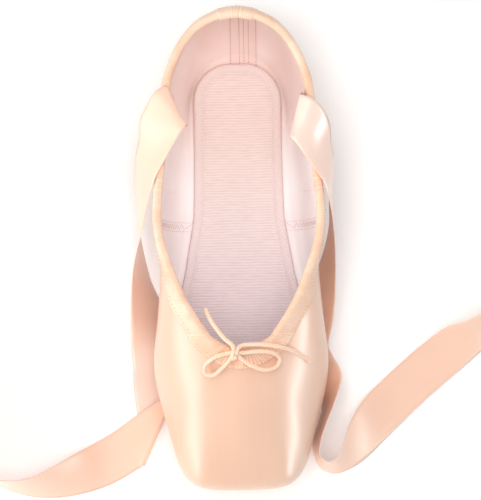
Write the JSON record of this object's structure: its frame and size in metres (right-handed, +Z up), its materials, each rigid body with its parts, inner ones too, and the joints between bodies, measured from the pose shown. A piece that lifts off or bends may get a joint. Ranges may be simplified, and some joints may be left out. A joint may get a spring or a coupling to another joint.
{
  "type": "pointe shoe",
  "caption": "Satin ballet pointe shoe with a hardened toe box, flat platform, arched leather sole, gathered binding, drawstring bow and ankle ribbons.",
  "frame": {"origin": "on the floor, at the middle of the shoe's length and width, ribbons and bow left out", "axes": "+Z up from the floor, +Y from the toe platform to the heel, +X to the right seen from above with the toe towards the viewer"},
  "size_m": [0.304, 0.2445, 0.0711],
  "materials": {
    "satin": "soft peach satin",
    "sole_leather": "buffed suede face with a burnished dark brown edge",
    "insole_cloth": "pale ribbed cotton",
    "binding_tape": "gathered ribbed tape",
    "ribbon_satin": "glossy satin ribbon",
    "drawstring_cord": "fine braided cotton cord"
  },
  "bodies": {
    "root": {"outsole": "sole_leather", "upper": "satin", "insole": "insole_cloth", "binding": "binding_tape", "ribbon_left": "ribbon_satin", "ribbon_right": "ribbon_satin", "bow_knot": "drawstring_cord", "bow_loop_left": "drawstring_cord", "bow_loop_right": "drawstring_cord", "bow_end_left": "drawstring_cord", "bow_end_right": "drawstring_cord"}
  },
  "joints": []
}
